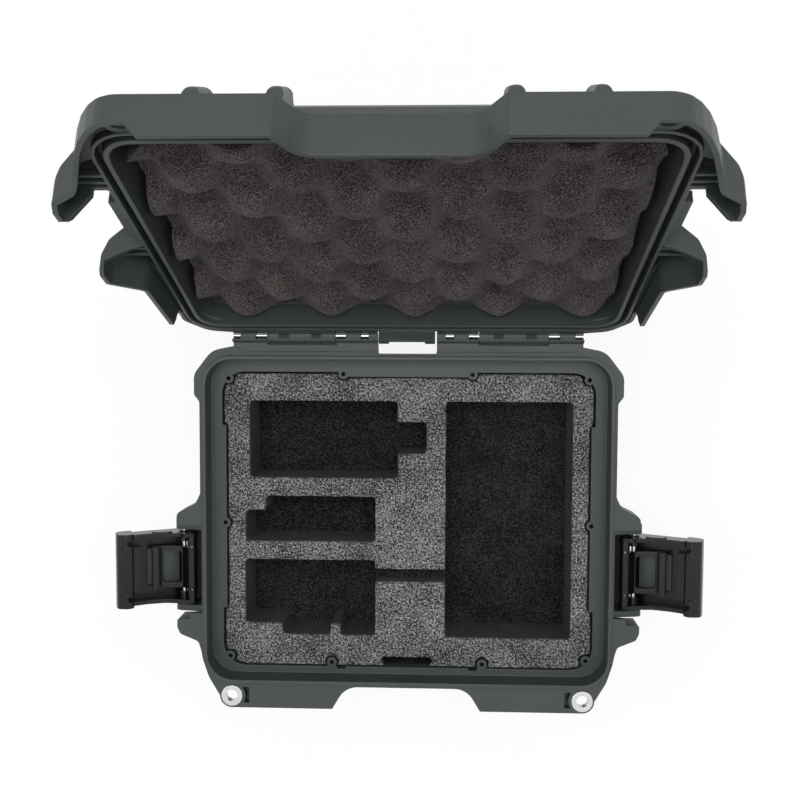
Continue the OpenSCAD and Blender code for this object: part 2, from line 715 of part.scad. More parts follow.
// Room that the ears' inner walls leave for the base's cheeks
module ear_reliefs() {
    for (side = [left, right]) on_side(side) {
        front_cut(wall_a - 5, wall_a + 1,
            [[ear_x - 5, base_h - 30], [ear_x - 5, base_h - 16.5], [slot_x + 0.6, base_h - 3.4],
             [slot_x + 0.6, base_h + 0.4], [edge_x - 3, base_h + 0.4], [edge_x - 3, base_h - 30]]);
        front_cut(gap_back - 1, gap_back + 10,
            [[ear_x - skirt_t + 0.2, base_h - 30],
             [ear_x - skirt_t + 0.2, base_h - 8.6], [pivot_x - 1.5, base_h - 4.2],
             [edge_x + 5.8, base_h - 1.5], [edge_x + 0.6, base_h + 0.4],
             [edge_x - 3, base_h + 0.4], [edge_x - 3, base_h - 30]]);
    }
}

// Bars between the ears that the claws hook over
catch_top = base_h + 7.6;

module catches() {
    for (side = [left, right]) on_side(side) difference() {
        block(edge_x - 1, edge_x + 5.4, latch_y - claw_w / 2 - 3, latch_y + claw_w / 2 + 3,
            base_h + 1.2, catch_top);
        block(edge_x + 0.7, edge_x + 3.5, latch_y - claw_w / 2 - 1, latch_y + claw_w / 2 + 1,
            catch_top - 1.4, catch_top + 1);
        block(edge_x + 3, edge_x + 6, latch_y - claw_w, latch_y + claw_w, catch_top - 0.3, catch_top + 1);
    }
}

module lid_webs() {
    for (side = [left, right]) on_side(side) {
        for (y = [gap_front - 16.5, gap_front - 10.5, gap_back + 6, gap_back + 13])
            block(groove_out + 1, ear_x - 2, y - 0.9, y + 0.9, base_h + 0.6, rim_high - 2);
        for (x = [60, 85])
            block(x - 0.9, x + 0.9, -lid_front + 1, -lip_y - 3, base_h + 0.6, rim_high - 2);
    }
}

module lid_ribs() {
    low = lid_top - 6;
    high = lid_top + rib_h;
    round_r = rib_w * 0.45;
    slope = 35;       // they follow the lid's front down from here
    bend = -73;
    rib_face = fillet([[-rib_w / 2 - 0.6, -50, 0], [rib_w / 2 + 0.6, -50, 0],
        [rib_w / 2, 0, round_r], [-rib_w / 2, 0, round_r]]);
    for (side = [left, right]) on_side(side) for (x = rib_places)
        intersection() {
            union() {
                translate([x, 0, high]) front_cut(bend, 84, rib_face);
                translate([x, bend, high]) rotate([slope, 0, 0]) front_cut(-34, 5, rib_face);
            }
            side_cut(x - rib_w, x + rib_w, fillet([[-96, low - 16, 0], [-60, low, 0], [80, low, 0],
                [80, lid_top, 0], [74, high, 6], [bend, high, 8],
                [bend - 18, high - 18 * tan(slope), 6], [bend - 24, low - 12, 4]]));
        }
}

module lid_shell() {
    color(olive) swung() difference() {
        union() {
            loft(dome, dome_x, dome_front, dome_back, lip_r + 3);
            difference() {
                skirt();
                ear_reliefs();
            }
            ring(lip_x - 3.4, groove_out + 1.8, rim_low, seal_high);
            ring(lip_x - 3.4, groove_in, base_h + 0.2, rim_low + 1);
            ring(groove_out, groove_out + 1.8, base_h + 0.3, rim_low + 1);
            catches();
            lid_webs();
            lid_ribs();
            for (side = [left, right]) on_side(side) {
                translate([ring_x, -ring_y, base_h + 1]) // padlock lug
                    cylinder(h = 5.2, r = ring_face_r + 1, $fn = round_n);
                rod_x(lid_knuckle[0], lid_knuckle[1], hinge_y, hinge_z, knuckle_r);
                side_cut(lid_knuckle[0], lid_knuckle[1],
                    [[back_y - 2, base_h + 0.6], [hinge_y, hinge_z - 1], [hinge_y + 1, hinge_z + knuckle_r - 0.2],
                     [hinge_y - 1, hinge_z + knuckle_r], [back_y - 2, rim_high]]);
            }
            difference() { // block between the hinges
                block(-18, 18, back_y + 0.6, back_y + 6.6, base_h - 6, rim_high - 1);
                block(-11.5, 11.5, back_y + 3.4, back_y + 8, base_h - 7, rim_high - 4);
            }
        }
        lid_hollow();
        difference() { // groove for the gasket
            ring(groove_in, groove_out, base_h - 1, groove_deep);
        }
        for (side = [left, right]) on_side(side) {
            translate([ring_x, -ring_y, base_h - 1]) cylinder(h = 20, r = ring_hole_r + 0.8, $fn = round_n);
            rod_x(0, hinge_end, hinge_y, hinge_z, hinge_pin_r + run);
            for (w = [[55.8, 61.5], [76.3, 82.7]]) // moulding recesses in the knuckle
                block(w[0], w[1], hinge_y - knuckle_r - 1, hinge_y - hinge_pin_r - 1.2,
                    hinge_z - knuckle_r, hinge_z + 1.4);
            rod_x(0, rib_places[0] + rib_w / 2 - 2, handle_y, handle_z, handle_pin_r);
        }
    }
}

gasket_gap = 0.15;

module lid_gasket() {
    color(black) swung()
        ring(groove_in + gasket_gap, groove_out - gasket_gap, base_h + lip_h + 0.3, groove_deep);
}

// Bumped foam: round peaks and hollows in turn, like a board of two colours
foam_x = dome_x - 9;
foam_front = dome_front - 16.6;
foam_back = dome_back - 7.1;
foam_seat = lid_top - wall - 0.3;
foam_face = base_h + 1;
foam_mid = foam_face + bump_h / 2;
foam_r = 20;
bump_r = 13;

// Sphere whose cap stands half the bump height out of the middle plane
module bumps(odd, side) {
    for (i = [-5:5]) for (j = [-4:4])
        if ((i + j + 10) % 2 == odd)
            translate([i * bump_pitch / 2, j * bump_rows / 2, foam_mid + side * (bump_r - bump_h / 2)])
                sphere(r = bump_r, $fn = 40);
}

module lid_foam() {
    color(foam_brown) swung() difference() {
        intersection() {
            side_cut(-foam_x - 1, foam_x + 1, [[-foam_front, foam_face - 5], [foam_back, foam_face - 5],
                [foam_back, lid_top - 22], [foam_back - 3.5, lid_top - 12], [foam_back - 10.6, foam_seat],
                [-foam_front + 28, foam_seat], [-foam_front, lid_top - 23]]);
            front_cut(-foam_front - 1, foam_back + 1, [[-foam_x, foam_face - 5], [foam_x, foam_face - 5],
                [foam_x, lid_top - 22], [foam_x - 3, lid_top - 12], [foam_x - 12, foam_seat],
                [12 - foam_x, foam_seat], [3 - foam_x, lid_top - 12], [-foam_x, lid_top - 22]]);
            union() {
                plate(box_path(-foam_x, foam_x, -foam_front, foam_back, foam_r), foam_face - 6, lid_top - 11);
                plate(box_path(8 - foam_x, foam_x - 8, -foam_front, foam_back - 6, foam_r + 4),
                    lid_top - 12, lid_top);
            }
            union() {
                block(-foam_x - 2, foam_x + 2, -foam_front - 2, foam_back + 2, foam_mid, lid_top);
                bumps(0, 1);
            }
        }
        bumps(1, -1);
    }
}

// ---------------------------------------------------------------- carry handle on the lid

handle_y = -2;
handle_z = lid_top + rib_h / 2;
handle_t = 8.2;
arm_w = 8;
bar_out = 7;   // bar beyond the reach
bar_in = 4;
bend_r = 8;

module handle_pin(side) {
    color(steel) swung() on_side(side)
        rod_x(handle_w / 2 - arm_w + 1, rib_places[0] + rib_w / 2 - 2.2, handle_y, handle_z, handle_pin_r);
}

module carry_handle() {
    half = handle_w / 2;
    low = handle_z - handle_t / 2;
    color(black) swung() difference() {
        union() {
            for (side = [left, right]) on_side(side) {
                block(half - arm_w, half, handle_y, handle_y + handle_reach - 8, low, low + handle_t);
                rod_x(half - arm_w, half, handle_y, handle_z, handle_t / 2);
            }
            // grip bar with its bent shoulders
            plate([[-half, handle_y + handle_reach - 10, 0], [-half + arm_w, handle_y + handle_reach - 10, 0],
                [-half + arm_w + 4, handle_y + handle_reach - bar_in, 5],
                [half - arm_w - 4, handle_y + handle_reach - bar_in, 5],
                [half - arm_w, handle_y + handle_reach - 10, 0], [half, handle_y + handle_reach - 10, 0],
                [half, handle_y + handle_reach, bend_r],
                [half - bend_r, handle_y + handle_reach + bar_out, bend_r],
                [bend_r - half, handle_y + handle_reach + bar_out, bend_r],
                [-half, handle_y + handle_reach, bend_r]],
                low, low + handle_t);
        }
        for (side = [left, right]) on_side(side)
            rod_x(half - arm_w - 1, half + 1, handle_y, handle_z, handle_pin_r + run);
    }
}

grip_half = 29;

module handle_grip() {
    low = handle_z - handle_t / 2;
    near = handle_y + handle_reach - bar_in;
    far = handle_y + handle_reach + bar_out;
    color(black) swung() difference() {
        plate(box_path(-grip_half, grip_half, near - 2, far + 2, 2), low - 0.7, low + handle_t + 1.2);
        block(-grip_half - 1, grip_half + 1, near, far, low, low + handle_t);
    }
}

// ---------------------------------------------------------------- latches

// A lever is drawn level, with its pivot on the origin, its grip along +X and
// its inner side up; the claw is drawn the same way about its own pin
claw_pin_x = -3;
claw_pin_z = 9;
floor_low = -10;
floor_high = -7.5;
bar_start = lever_len - 11.5;
arm_out = lever_w / 2 - 0.9;
arm_in = arm_out - 2.6;
claw_half = claw_w / 2;
claw_len = 26.5;

module at_lever(side) {
    on_side(side) translate([pivot_x, latch_y, pivot_z]) rotate([0, -lever_open, 0]) children();
}

module at_claw(side) {
    at_lever(side) translate([claw_pin_x, 0, claw_pin_z]) rotate([0, -claw_open, 0]) children();
}

// Side arm of the lever, drawn in its own plane
module lever_arm() {
    front_cut(arm_in, arm_out, fillet([
        [-2, floor_low, 3], [lever_len - 4, floor_low, 1], [lever_len - 4, 3, 2], [26, 1.5, 8],
        [14, 3, 6], [5, 8.5, 3], [2.6, 12.6, 3], [-7, 12.6, 4], [-6.6, 4, 4], [-5.4, -5, 4]]));
    rod_y(claw_pin_x, claw_half + 0.6, arm_in + 0.2, claw_pin_z, 3.2);
    rod_y(0, claw_half + 3, arm_out + 0.6, 0, 3.6);
}

lock_low = floor_low - 0.6;
lock_in = 6;
lock_out = 19;
lock_half = 10.5;

module latch_lever(side) {
    color(black) at_lever(side) difference() {
        union() {
            lever_arm();
            mirror([0, 1, 0]) lever_arm();
            plate(box_path(-1.5, lever_len - 6, -arm_out + 0.2, arm_out - 0.2, 1), floor_low, floor_high);
            // grip bar
            front_cut(-lever_w / 2, lever_w / 2, fillet([[bar_start, floor_low, 0.6],
                [lever_len - 1, floor_low, 5], [lever_len, 2, 5], [lever_len - 6, 5.6, 4],
                [bar_start + 1, 4.6, 2.5], [bar_start, -3, 1]]));
            // step inside the bar
            block(bar_start - 5, bar_start + 1, -15, 15, floor_low + 1, 0);
            // stop tab outside the rear arm
            front_cut(arm_out - 0.5, arm_out + 0.7, fillet([[7, -6, 2], [22, -6, 3], [20, 2, 3], [9, 4, 3]]));
        }
        // finger panel in the bar's inner face
        plate(box_path(bar_start + 2.2, lever_len - 2.6, -13.7, 13.7, 2.5), 3.7, 9);
        for (s = [-1, 1]) { // round-ended notches in the bar
            translate([bar_start + 3.4, s * (lever_w / 2 - 6), floor_low + 3]) cylinder(h = 20, r = 2, $fn = 32);
            block(bar_start - 2, bar_start + 3.4, s * (lever_w / 2 - 6) - 2, s * (lever_w / 2 - 6) + 2,
                floor_low + 3, 9);
        }
        // window for the slide lock, and the step that keeps it in
        plate(box_path(lock_in - slip, lock_out + lock_travel + slip, -lock_half - slip, lock_half + slip, 1.5),
            floor_low - 1, floor_high + 1);
        rod_y(0, -lever_w, lever_w, 0, latch_pin_r + run);
        rod_y(claw_pin_x, -lever_w, lever_w, claw_pin_z, claw_pin_r);
    }
}

module claw_pin(side) {
    color(steel) at_lever(side) rod_y(claw_pin_x, -arm_out, arm_out, claw_pin_z, claw_pin_r);
}

module latch_lock(side) {
    color(olive) at_lever(side) {
        plate([[lock_in, -lock_half, 1.5], [lock_out - 2, -lock_half, 2], [lock_out, 0, 20],
            [lock_out - 2, lock_half, 2], [lock_in, lock_half, 1.5]], lock_low, floor_high + 0.2);
        plate(box_path(lock_in - 4, lock_out + lock_travel + 1.5, -lock_half - 1.6, lock_half + 1.6, 1),
            floor_high + 0.2, floor_high + 1);
    }
}

module latch_claw(side) {
    color(black) at_claw(side) difference() {
        union() {
            rod_y(0, -claw_half, claw_half, 0, 3.4);
            front_cut(-claw_half, claw_half, fillet([[-3.2, -1, 1], [-1, -5, 3], [claw_len, -5, 1.5],
                [claw_len, 2.6, 1.2], [21.8, 2.6, 0.4], [21.8, 1, 0.4], [23, 1, 0.3],
                [23, -2.4, 0.8], [7, -2.4, 3], [3, 1.4, 2], [0, 3.2, 1]]));
        }
        plate(box_path(7.5, 20.5, -10.8, 10.8, 2.5), -8, 0);
        rod_y(0, -claw_w, claw_w, 0, claw_pin_r + run);
    }
}

base_shell();
base_foam_insert();
base_foam_pad();
hinge_pin(left);  // hinge_pin_left
hinge_pin(right);  // hinge_pin_right
padlock_ring(left);  // padlock_ring_left
padlock_ring(right);  // padlock_ring_right
valve_body();
valve_nut();
valve_seal();
valve_membrane();
latch_pin(left);  // latch_pin_left
latch_pin(right);  // latch_pin_right
lid_shell();
lid_gasket();
lid_foam();
handle_pin(left);  // handle_pin_left
handle_pin(right);  // handle_pin_right
carry_handle();
handle_grip();
latch_lever(left);  // latch_lever_left
latch_lever(right);  // latch_lever_right
claw_pin(left);  // claw_pin_left
claw_pin(right);  // claw_pin_right
latch_claw(left);  // latch_claw_left
latch_claw(right);  // latch_claw_right
latch_lock(left);  // latch_lock_left
latch_lock(right);  // latch_lock_right
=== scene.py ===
import math

import bmesh
import bpy
from mathutils import Euler, Matrix, Vector, noise


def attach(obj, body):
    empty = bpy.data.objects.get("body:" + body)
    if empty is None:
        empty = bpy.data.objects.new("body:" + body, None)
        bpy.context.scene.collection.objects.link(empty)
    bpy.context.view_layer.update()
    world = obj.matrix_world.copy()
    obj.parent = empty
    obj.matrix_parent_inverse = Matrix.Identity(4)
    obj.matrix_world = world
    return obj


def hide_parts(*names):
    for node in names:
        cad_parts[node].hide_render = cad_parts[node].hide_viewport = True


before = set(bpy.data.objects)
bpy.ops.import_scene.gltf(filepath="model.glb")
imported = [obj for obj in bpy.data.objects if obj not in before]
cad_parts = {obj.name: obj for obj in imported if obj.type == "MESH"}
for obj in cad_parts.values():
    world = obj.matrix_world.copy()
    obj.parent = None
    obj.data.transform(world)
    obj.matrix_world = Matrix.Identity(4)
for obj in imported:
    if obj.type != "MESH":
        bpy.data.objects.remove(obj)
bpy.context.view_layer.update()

# ---------------------------------------------------------------- studio
# Camera almost straight above the open case, a large soft box overhead and weaker ones
# in front, behind and at each side. The pale room keeps the shadows open.
camera = bpy.data.objects.new("camera", bpy.data.cameras.new("camera"))
camera.data.lens = 45.08
camera.data.sensor_width = 36
camera.location = (0.0209, 0.1214, 0.7531)
camera.rotation_euler = Euler([math.radians(a) for a in (-3.634, 2.266, 0.223)], "XYZ")
bpy.context.scene.collection.objects.link(camera)
bpy.context.scene.camera = camera
bpy.context.scene.view_settings.view_transform = "Standard"


def soft_box(name, place, aim, width, depth, watts):
    lamp = bpy.data.lights.new(name, "AREA")
    lamp.shape = "RECTANGLE"
    lamp.size, lamp.size_y, lamp.energy = width, depth, watts
    box = bpy.data.objects.new(name, lamp)
    box.location = place
    box.rotation_euler = (Vector(aim) - Vector(place)).to_track_quat("-Z", "Y").to_euler()
    bpy.context.scene.collection.objects.link(box)


soft_box("soft_box_top", (0.0, 0.35, 2.0), (0.0, 0.1, 0.1), 1.3, 1.0, 19)
soft_box("soft_box_front", (0.0, -1.5, 1.2), (0.0, 0.05, 0.1), 1.6, 0.9, 9)
soft_box("soft_box_left", (-1.3, 0.3, 1.1), (0.0, 0.05, 0.1), 0.9, 1.2, 4.5)
soft_box("soft_box_right", (1.3, 0.3, 1.1), (0.0, 0.05, 0.1), 0.9, 1.2, 4.5)
soft_box("soft_box_back", (0.0, 1.2, 1.4), (0.0, 0.1, 0.1), 1.6, 0.6, 4)


class Wire:
    """One socket of a finish. Arithmetic on it adds Math nodes."""

    def __init__(self, finish, socket):
        self.finish, self.socket = finish, socket

    def of(self, name):
        return Wire(self.finish, self.socket.node.outputs[name])

    def _math(self, operation, *values):
        return self.finish.add("ShaderNodeMath", {"operation": operation}, dict(enumerate(values)))

    def __add__(self, other):
        return self._math("ADD", self, other)

    def __radd__(self, other):
        return self._math("ADD", other, self)

    def __sub__(self, other):
        return self._math("SUBTRACT", self, other)

    def __rsub__(self, other):
        return self._math("SUBTRACT", other, self)

    def __mul__(self, other):
        return self._math("MULTIPLY", self, other)

    def clip(self):
        return self.finish.add("ShaderNodeClamp", {}, {0: self})


class Finish:
    """A material under construction, or the world, which is a node tree too."""

    def __init__(self, name, owner=None):
        self.owner = owner or bpy.data.materials.new(name)
        self.owner.use_nodes = True
        self.tree = self.owner.node_tree
        self.tree.nodes.clear()

    def add(self, kind, settings=None, sockets=None, out=0):
        node = self.tree.nodes.new(kind)
        for key, value in (settings or {}).items():
            if key == "stops":
                for n, (at, colour) in enumerate(value):
                    stop = node.color_ramp.elements[n] if n < 2 else node.color_ramp.elements.new(at)
                    stop.position = at
                    stop.color = (*colour, 1)
            else:
                setattr(node, key, value)
        for key, value in (sockets or {}).items():
            if isinstance(value, Wire):
                self.tree.links.new(value.socket, node.inputs[key])
            elif value is not None:
                wide = hasattr(node.inputs[key].default_value, "__len__")
                if wide and len(node.inputs[key].default_value) == 4 and len(value) == 3:
                    value = (*value, 1)
                node.inputs[key].default_value = value
        return Wire(self, node.outputs[out]) if len(node.outputs) else None

    def place(self):
        return self.add("ShaderNodeTexCoord").of("Object")

    def grain(self, size, detail=2.0, rough=0.5, at=None, shift=(0, 0, 0), stretch=(1, 1, 1)):
        moved = self.add("ShaderNodeMapping", {}, {
            "Vector": at or self.place(), "Location": shift, "Scale": tuple(s / size for s in stretch)})
        return self.add("ShaderNodeTexNoise", {}, {
            "Vector": moved, "Scale": 1.0, "Detail": detail, "Roughness": rough})

    def between(self, share, first, second):
        return self.add("ShaderNodeMix", {"data_type": "RGBA"}, {0: share, 6: first, 7: second}, out=2)

    def finish(self, sockets):
        shader = self.add("ShaderNodeBsdfPrincipled", {}, sockets)
        self.add("ShaderNodeOutputMaterial", {}, {"Surface": shader})
        return self.owner


def white_to_the_eye(finish):
    seen = finish.add("ShaderNodeLightPath")
    return (seen + seen.of("Is Glossy Ray") + seen.of("Is Transmission Ray")).clip()


room_level = 0.17
room = bpy.data.worlds.new("room")
bpy.context.scene.world = room
room_light = Finish("room", room)
sky = room_light.add("ShaderNodeBackground", {}, {
    "Color": (1, 1, 1), "Strength": white_to_the_eye(room_light) * (1 - room_level) + room_level})
room_light.add("ShaderNodeOutputWorld", {}, {"Surface": sky})

floor_half = 9
floor_mesh = bpy.data.meshes.new("floor")
floor_mesh.from_pydata([(x * floor_half, y * floor_half, 0) for x, y in ((-1, -1), (1, -1), (1, 1), (-1, 1))],
    [], [(0, 1, 2, 3)])
floor = bpy.data.objects.new("floor", floor_mesh)
bpy.context.scene.collection.objects.link(floor)
paper = Finish("paper_floor")
paper_shade = paper.add("ShaderNodeBsdfDiffuse", {}, {"Color": (0.98, 0.98, 0.98)})
paper_glow = paper.add("ShaderNodeEmission", {}, {"Color": (1, 1, 1), "Strength": 1.02})
paper_mix = paper.add("ShaderNodeMixShader", {}, {
    0: white_to_the_eye(paper) * 0.84, 1: paper_shade, 2: paper_glow})
paper.add("ShaderNodeOutputMaterial", {}, {"Surface": paper_mix})
floor_mesh.materials.append(paper.owner)

# ---------------------------------------------------------------- base shell
# Injection-moulded tray with its flange, latch cheeks, hinge knuckles and screw
# ledge, in olive-grey polypropylene copolymer with a fine spark-eroded grain.


def moulded_plastic(name, colour, worn_and_edge_highlight, roughness, pit, radius, pit_depth=0.00004, gloss=0.34):
    finish = Finish(name)
    pits = finish.grain(pit, 2.0, 0.6)
    clouds = finish.grain(0.045, 4.0, 0.6, shift=(3.1, 0.4, 7.7))
    flow = finish.grain(0.012, 2.0, 0.5, shift=(9.3, 2.2, 1.5), stretch=(1, 0.25, 1))
    scrape = finish.grain(0.0007, 1.5, 0.4, shift=(5, 1, 2), stretch=(1, 0.022, 0.3))
    scuffed = ((scrape - 0.68) * 9).clip() * ((clouds - 0.52) * 7).clip()
    soft_edge = finish.add("ShaderNodeBevel", {"samples": 6}, {"Radius": radius})
    plain = finish.add("ShaderNodeNewGeometry").of("Normal")
    facing = finish.add("ShaderNodeVectorMath", {"operation": "DOT_PRODUCT"}, {
        0: soft_edge, 1: plain}, out=1)
    # Painted highlight: the colour is lightened along rounded edges, where light would catch them; the same
    # pale colour also marks real scuffs.
    edge_highlight = ((1 - facing) * 3.2).clip() * (clouds * 0.9 + 0.1).clip()
    tone = finish.between((clouds - 0.32).clip() * 2.2, tuple(c * 0.9 for c in colour),
        tuple(c * 1.1 for c in colour))
    tone = finish.between(((pits - 0.5) * 1.6 + 0.18).clip(), tone, tuple(c * 0.8 for c in colour))
    tone = finish.between((edge_highlight * 0.55 + scuffed * 0.3).clip(), tone, worn_and_edge_highlight)
    bumpy = finish.add("ShaderNodeBump", {}, {
        "Strength": 0.55, "Distance": pit_depth, "Height": pits + flow * 0.35, "Normal": soft_edge})
    return finish.finish({
        "Base Color": tone, "Normal": bumpy,
        "Roughness": ((clouds - 0.5) * 0.16 + roughness - edge_highlight * 0.1 + scuffed * 0.12).clip(),
        "Specular IOR Level": gloss})


def joined_mesh(node):
    """A node's mesh with its doubled points joined and its flat areas made whole."""
    weld, flat = 3e-6, math.radians(0.4)
    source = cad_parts[node].data
    mesh = bpy.data.meshes.new(node + "_joined")
    mesh.from_pydata([v.co for v in source.vertices], [], [tuple(p.vertices) for p in source.polygons])
    work = bmesh.new()
    work.from_mesh(mesh)
    bmesh.ops.remove_doubles(work, verts=work.verts, dist=weld)
    bmesh.ops.dissolve_limit(work, angle_limit=flat, verts=work.verts, edges=work.edges)
    work.to_mesh(mesh)
    work.free()
    return mesh


def add_piece(name, mesh, body, finish, nodes=()):
    piece = bpy.data.objects.new(name, mesh)
    bpy.context.scene.collection.objects.link(piece)
    piece.data.materials.clear()
    piece.data.materials.append(finish)
    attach(piece, body)
    if nodes:
        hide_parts(*nodes)
    return piece


def skin(name, node, body, finish, sharp=33, bevel=0.0):
    """A rigid piece on its node's own shape, shaded smooth between its real edges."""
    mesh = joined_mesh(node)
    for face in mesh.polygons:
        face.use_smooth = True
    mesh.set_sharp_from_angle(angle=math.radians(sharp))
    piece = add_piece(name, mesh, body, finish, [node])
    if bevel:
        rounding = piece.modifiers.new("rounding", "BEVEL")
        rounding.width = bevel
        rounding.segments = 2
        rounding.limit_method = "ANGLE"
        rounding.angle_limit = math.radians(sharp)
    even = piece.modifiers.new("even_normals", "WEIGHTED_NORMAL")
    even.keep_sharp = True
    even.weight = 90
    return piece


olive = (0.0435, 0.0535, 0.0485)
# Pale colour for real scuffs and for the painted highlight along edges.
olive_scuff_and_edge_highlight = (0.115, 0.135, 0.122)
shell_finish = moulded_plastic("olive_copolymer", olive, olive_scuff_and_edge_highlight, roughness=0.46, pit=0.0005, radius=0.0009)
skin("base_moulding", "base_shell", "base", shell_finish)

# ---------------------------------------------------------------- base foam
# Two blocks of charcoal open-cell foam: the lower one is plain, the upper one is
# cut through in loose pockets. Pores are about a millimetre, walls slightly torn.


def foam_finish(name, dark, mid, light, pore, glint_share, depth, top=None, painted_shade_fade=0.02, painted_shade_deepest=0.4):
    """Open-cell foam. Below the given level it is painted darker, as shade in the pockets, down to a set share
    of its colour.
    """
    finish = Finish(name)
    place = finish.place()
    cells = finish.grain(pore, 3.0, 0.75, at=place)
    fine = finish.grain(pore * 0.45, 2.0, 0.6, at=place, shift=(4, 8, 1))
    drift = finish.grain(0.02, 3.0, 0.6, at=place, shift=(1, 5, 9))
    mixed = (cells * 0.62 + fine * 0.38 + (drift - 0.5) * 0.12)
    tone = finish.add("ShaderNodeValToRGB", {"stops": [
        (0.42, dark), (0.59, light), (0.49, mid)]}, {0: mixed})
    # Painted glints: bright specks lightened into the colour, where light would catch the pore walls.
    glint = ((fine - 0.66) * 14).clip() * glint_share
    tone = finish.between(glint, tone, tuple(min(1.0, c * 2.2) for c in light))
    # Painted shade: below the level top the colour darkens, standing in for the shade deep in the cut pockets.
    if top:
        level = finish.add("ShaderNodeSeparateXYZ", {}, {0: place}).of("Z")
        sunk = ((top - level) * (1 / painted_shade_fade)).clip() * (1 - painted_shade_deepest)
        tone = finish.between(sunk, tone, tuple(c * 0.25 for c in dark))
    bumpy = finish.add("ShaderNodeBump", {}, {
        "Strength": 0.9, "Distance": depth, "Height": cells * 0.7 + fine * 0.3})
    return finish.finish({
        "Base Color": tone, "Normal": bumpy, "Roughness": (0.98 - glint * 0.3).clip(),
        "Specular IOR Level": 0.12, "Sheen Weight": 0.08, "Sheen Roughness": 0.6})


def torn(mesh, wave, waviness, grain, graininess, sunk):
    """Moves every point along its normal: long waves, fine raggedness, and in by a little."""
    normals = [n.vector.copy() for n in mesh.vertex_normals]
    for point, normal in zip(mesh.vertices, normals):
        at = point.co
        move = waviness * noise.noise(at / wave) + graininess * noise.noise(at / grain + Vector((7, 3, 5)))
        point.co = at + normal * (move - sunk)


def soft_block(name, node, body, finish, voxel, waviness, graininess):
    """A block of foam on its node's own form, with slightly wavy and ragged faces."""
    wave, grain = 0.011, 0.0028
    work = bpy.data.objects.new(name + "_work", joined_mesh(node))
    bpy.context.scene.collection.objects.link(work)
    cells = work.modifiers.new("cells", "REMESH")
    cells.mode = "VOXEL"
    cells.voxel_size = voxel
    bpy.context.view_layer.update()
    mesh = bpy.data.meshes.new_from_object(work.evaluated_get(bpy.context.evaluated_depsgraph_get()))
    bpy.data.objects.remove(work)
    mesh.name = name
    torn(mesh, wave, waviness, grain, graininess, sunk=waviness + 0.6 * graininess)
    for face in mesh.polygons:
        face.use_smooth = True
    piece = add_piece(name, mesh, body, finish, [node])
    return piece


# The charcoal foam gets painted shade below the top of the upper block, in its pockets.
charcoal = foam_finish("charcoal_foam", (0.004, 0.004, 0.004), (0.056, 0.058, 0.056), (0.42, 0.43, 0.42),
    pore=0.0014, glint_share=0.5, depth=0.0009, top=0.0888, painted_shade_fade=0.0025, painted_shade_deepest=0.12)
soft_block("base_foam_lower", "base_foam_pad", "base", charcoal,
    voxel=0.003, waviness=0.0003, graininess=0.0001)
soft_block("base_foam_upper", "base_foam_insert", "base", charcoal,
    voxel=0.0012, waviness=0.0002, graininess=0.0004)

# ---------------------------------------------------------------- steel fittings
# Hinge pins, latch pins and the two padlock rings, turned from stainless rod and
# pressed into the base; they show fine lathe marks and no plating.


def turned_steel(name, colour, roughness):
    finish = Finish(name)
    lathe = finish.grain(0.00012, 1.0, 0.5, stretch=(0.15, 0.15, 1))
    smear = finish.grain(0.006, 3.0, 0.6, shift=(2, 2, 6))
    tone = finish.between((smear - 0.35).clip() * 1.6, tuple(c * 0.86 for c in colour), colour)
    bumpy = finish.add("ShaderNodeBump", {}, {"Strength": 0.06, "Distance": 0.000005, "Height": lathe})
    return finish.finish({
        "Base Color": tone, "Normal": bumpy, "Metallic": 1.0,
        "Roughness": (roughness + (smear - 0.5) * 0.08 + (lathe - 0.5) * 0.03).clip()})


stainless = turned_steel("stainless_steel", (0.66, 0.66, 0.65), roughness=0.27)
for side in ("left", "right"):
    skin("hinge_rod_" + side, "hinge_pin_" + side, "base", stainless, bevel=0.00015)
    skin("ring_insert_" + side, "padlock_ring_" + side, "base", stainless, bevel=0.0003)
    skin("lever_rod_" + side, "latch_pin_" + side, "base", stainless, bevel=0.00015)

# ---------------------------------------------------------------- pressure valve
# A nylon vent plug screwed through the front wall: slotted cap, washer of soft
# rubber, hexagonal nut inside and a white membrane behind the slots.


def soft_rubber(name, colour, roughness, grain):
    finish = Finish(name)
    talc = finish.grain(0.009, 4.0, 0.65)
    skin_grain = finish.grain(grain, 2.0, 0.5, shift=(1, 1, 4))
    tone = finish.between((talc - 0.45).clip() * 1.2, colour, tuple(c * 2.2 + 0.004 for c in colour))
    bumpy = finish.add("ShaderNodeBump", {}, {"Strength": 0.5, "Distance": 0.00005, "Height": skin_grain})
    return finish.finish({
        "Base Color": tone, "Normal": bumpy, "Roughness": (roughness + (talc - 0.5) * 0.25).clip(),
        "Specular IOR Level": 0.3})


black_nylon = moulded_plastic("black_nylon", (0.0036, 0.0029, 0.0033), (0.034, 0.031, 0.034),
    roughness=0.25, pit=0.0004, radius=0.0006)
seal_rubber = soft_rubber("seal_rubber", (0.010, 0.010, 0.011), roughness=0.62, grain=0.0004)
vent_cloth = soft_rubber("vent_cloth", (0.62, 0.62, 0.60), roughness=0.85, grain=0.0002)
skin("vent_plug", "valve_body", "base", black_nylon, bevel=0.0003)
skin("vent_nut", "valve_nut", "base", black_nylon, bevel=0.0004)
skin("vent_washer", "valve_seal", "base", seal_rubber, bevel=0.0003)
skin("vent_membrane", "valve_membrane", "base", vent_cloth, bevel=0.0001)

# ---------------------------------------------------------------- lid shell
# The lid is the same copolymer: domed top with four stacking ribs, rim and ears
# that reach over the flange, and the double ridge that holds the seal.
skin("lid_moulding", "lid_shell", "lid", shell_finish)

lid_open = math.radians(-112)
hinge_line = Vector((0, 0.1215, 0.1049))
lid_turn = (Matrix.Translation(hinge_line) @ Matrix.Rotation(lid_open, 4, "X")
            @ Matrix.Translation(-hinge_line))

# ---------------------------------------------------------------- lid seal
# A solid cord of soft black rubber laid in the groove between the lid's two
# ridges; it stands a little proud where the base's lip presses into it.


